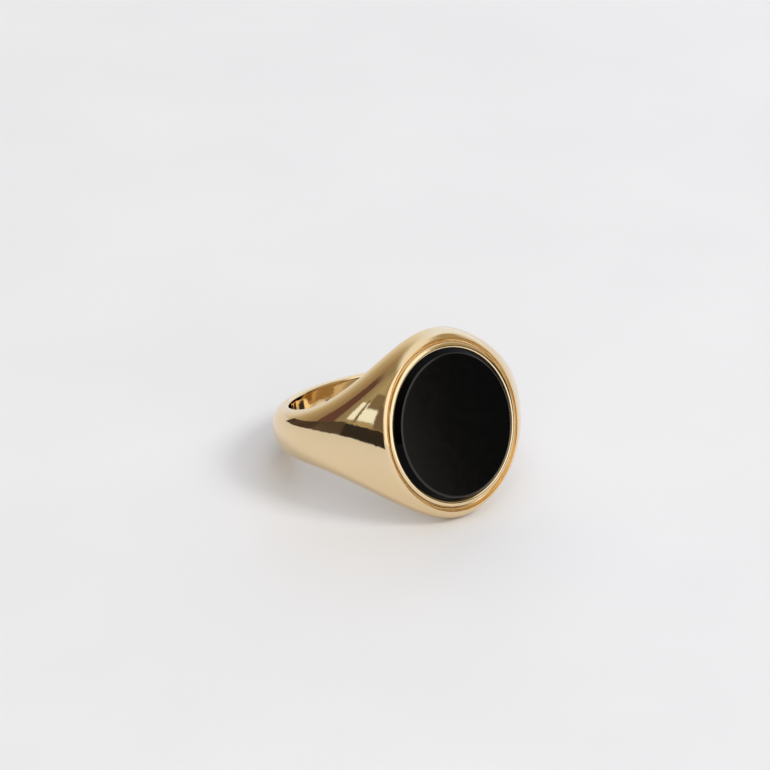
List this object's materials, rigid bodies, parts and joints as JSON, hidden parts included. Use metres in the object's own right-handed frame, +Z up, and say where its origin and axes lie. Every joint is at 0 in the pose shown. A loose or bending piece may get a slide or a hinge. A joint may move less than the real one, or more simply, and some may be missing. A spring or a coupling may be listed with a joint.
{
  "type": "signet ring",
  "caption": "Polished yellow gold oval signet ring with a flat bevelled black onyx tablet in a raised collar, lying on its side with the face turned up a little.",
  "frame": {"origin": "on the table, under the middle of the ring's outline as it lies at rest", "axes": "+Z up from the table; +X the way the face looks, which is also turned up by 19 degrees; Y across the ring, which is symmetrical about y = 0"},
  "size_m": [0.0234, 0.0218, 0.0163],
  "materials": {
    "yellow_gold": "polished",
    "yellow_gold_collar": "polished",
    "black_onyx": "polished",
    "setting_cement": "matte",
    "gold_solder": "satin"
  },
  "bodies": {
    "root": {"ring_shank": "yellow_gold", "bezel_collar": "yellow_gold_collar", "onyx_tablet": "black_onyx", "setting_bed": "setting_cement", "collar_solder": "gold_solder"}
  },
  "joints": []
}
